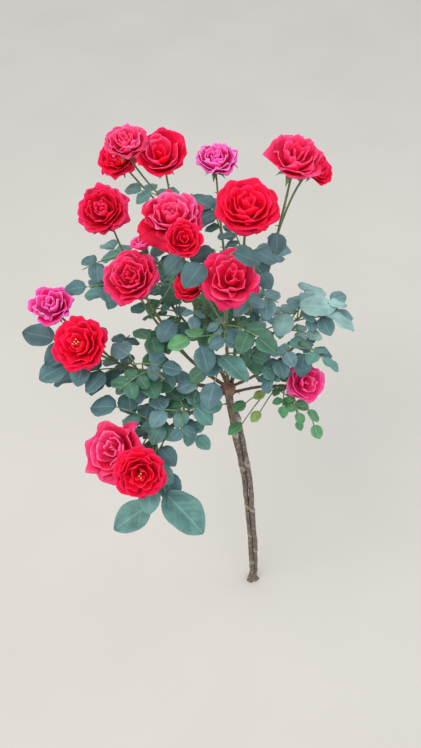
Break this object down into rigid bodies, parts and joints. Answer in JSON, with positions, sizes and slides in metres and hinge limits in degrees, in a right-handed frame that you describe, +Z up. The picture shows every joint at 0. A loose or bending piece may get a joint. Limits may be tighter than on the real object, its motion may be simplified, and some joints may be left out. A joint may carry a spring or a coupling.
{
  "type": "rose bush",
  "caption": "Small standard rose: a slim twin-stemmed trunk rises to a graft knob, and slender canes spread from it with leaves and double red and pink blooms.",
  "frame": {"origin": "middle of the flat cut under the trunk, at ground level", "axes": "+Z up; -Y towards the camera of the picture; +X to its right"},
  "size_m": [0.4204, 0.4724, 1.0389],
  "materials": {
    "trunk_bark": "matt fissured bark",
    "cane_bark": "smooth green to brown bark",
    "foliage": "matt leaves with red and pink petals"
  },
  "bodies": {
    "root": {"trunk": "trunk_bark", "bough_front": "cane_bark", "bough_centre": "cane_bark", "bough_top_right": "cane_bark", "bough_top_middle": "cane_bark", "bough_middle": "cane_bark", "bough_top_left": "cane_bark", "bough_inner_left": "cane_bark", "bough_upper_left": "cane_bark", "bough_outer_left": "cane_bark", "bough_left": "cane_bark", "bough_low_left": "cane_bark", "bough_low_front": "cane_bark", "bough_over_knob": "cane_bark", "bough_heart": "cane_bark", "bough_low_right": "cane_bark", "bough_right_front": "cane_bark", "bough_right_back": "cane_bark", "bough_back": "cane_bark", "bough_back_left": "cane_bark", "mass_front": "foliage", "mass_centre": "foliage", "mass_top_right": "foliage", "mass_top_middle": "foliage", "mass_middle": "foliage", "mass_top_left": "foliage", "mass_inner_left": "foliage", "mass_upper_left": "foliage", "mass_outer_left": "foliage", "mass_left": "foliage", "mass_low_left": "foliage", "mass_low_front": "foliage", "mass_over_knob": "foliage", "mass_heart": "foliage", "mass_low_right": "foliage", "mass_right_front": "foliage", "mass_right_back": "foliage", "mass_back": "foliage", "mass_back_left": "foliage"}
  },
  "joints": []
}
